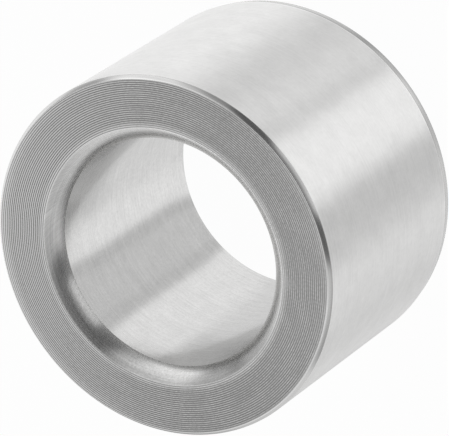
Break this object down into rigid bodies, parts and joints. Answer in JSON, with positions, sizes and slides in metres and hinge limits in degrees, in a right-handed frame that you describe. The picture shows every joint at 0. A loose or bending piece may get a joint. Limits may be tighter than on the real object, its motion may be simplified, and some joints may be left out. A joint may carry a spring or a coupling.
{
  "type": "centering bushing",
  "caption": "Plain cylindrical steel centering bushing with a ground outside, a through bore, a crowned lead-in at one end and a press-in chamfer at the other.",
  "frame": {"origin": "on the axis, in the plane of the plain end that the bushing stands on", "axes": "+Z along the bore axis, from the plain end towards the lead-in"},
  "size_m": [0.026, 0.026, 0.018],
  "materials": {
    "ground_steel": "ground outside and bore, turned end faces"
  },
  "bodies": {
    "root": {"centering_bushing": "ground_steel"}
  },
  "joints": []
}
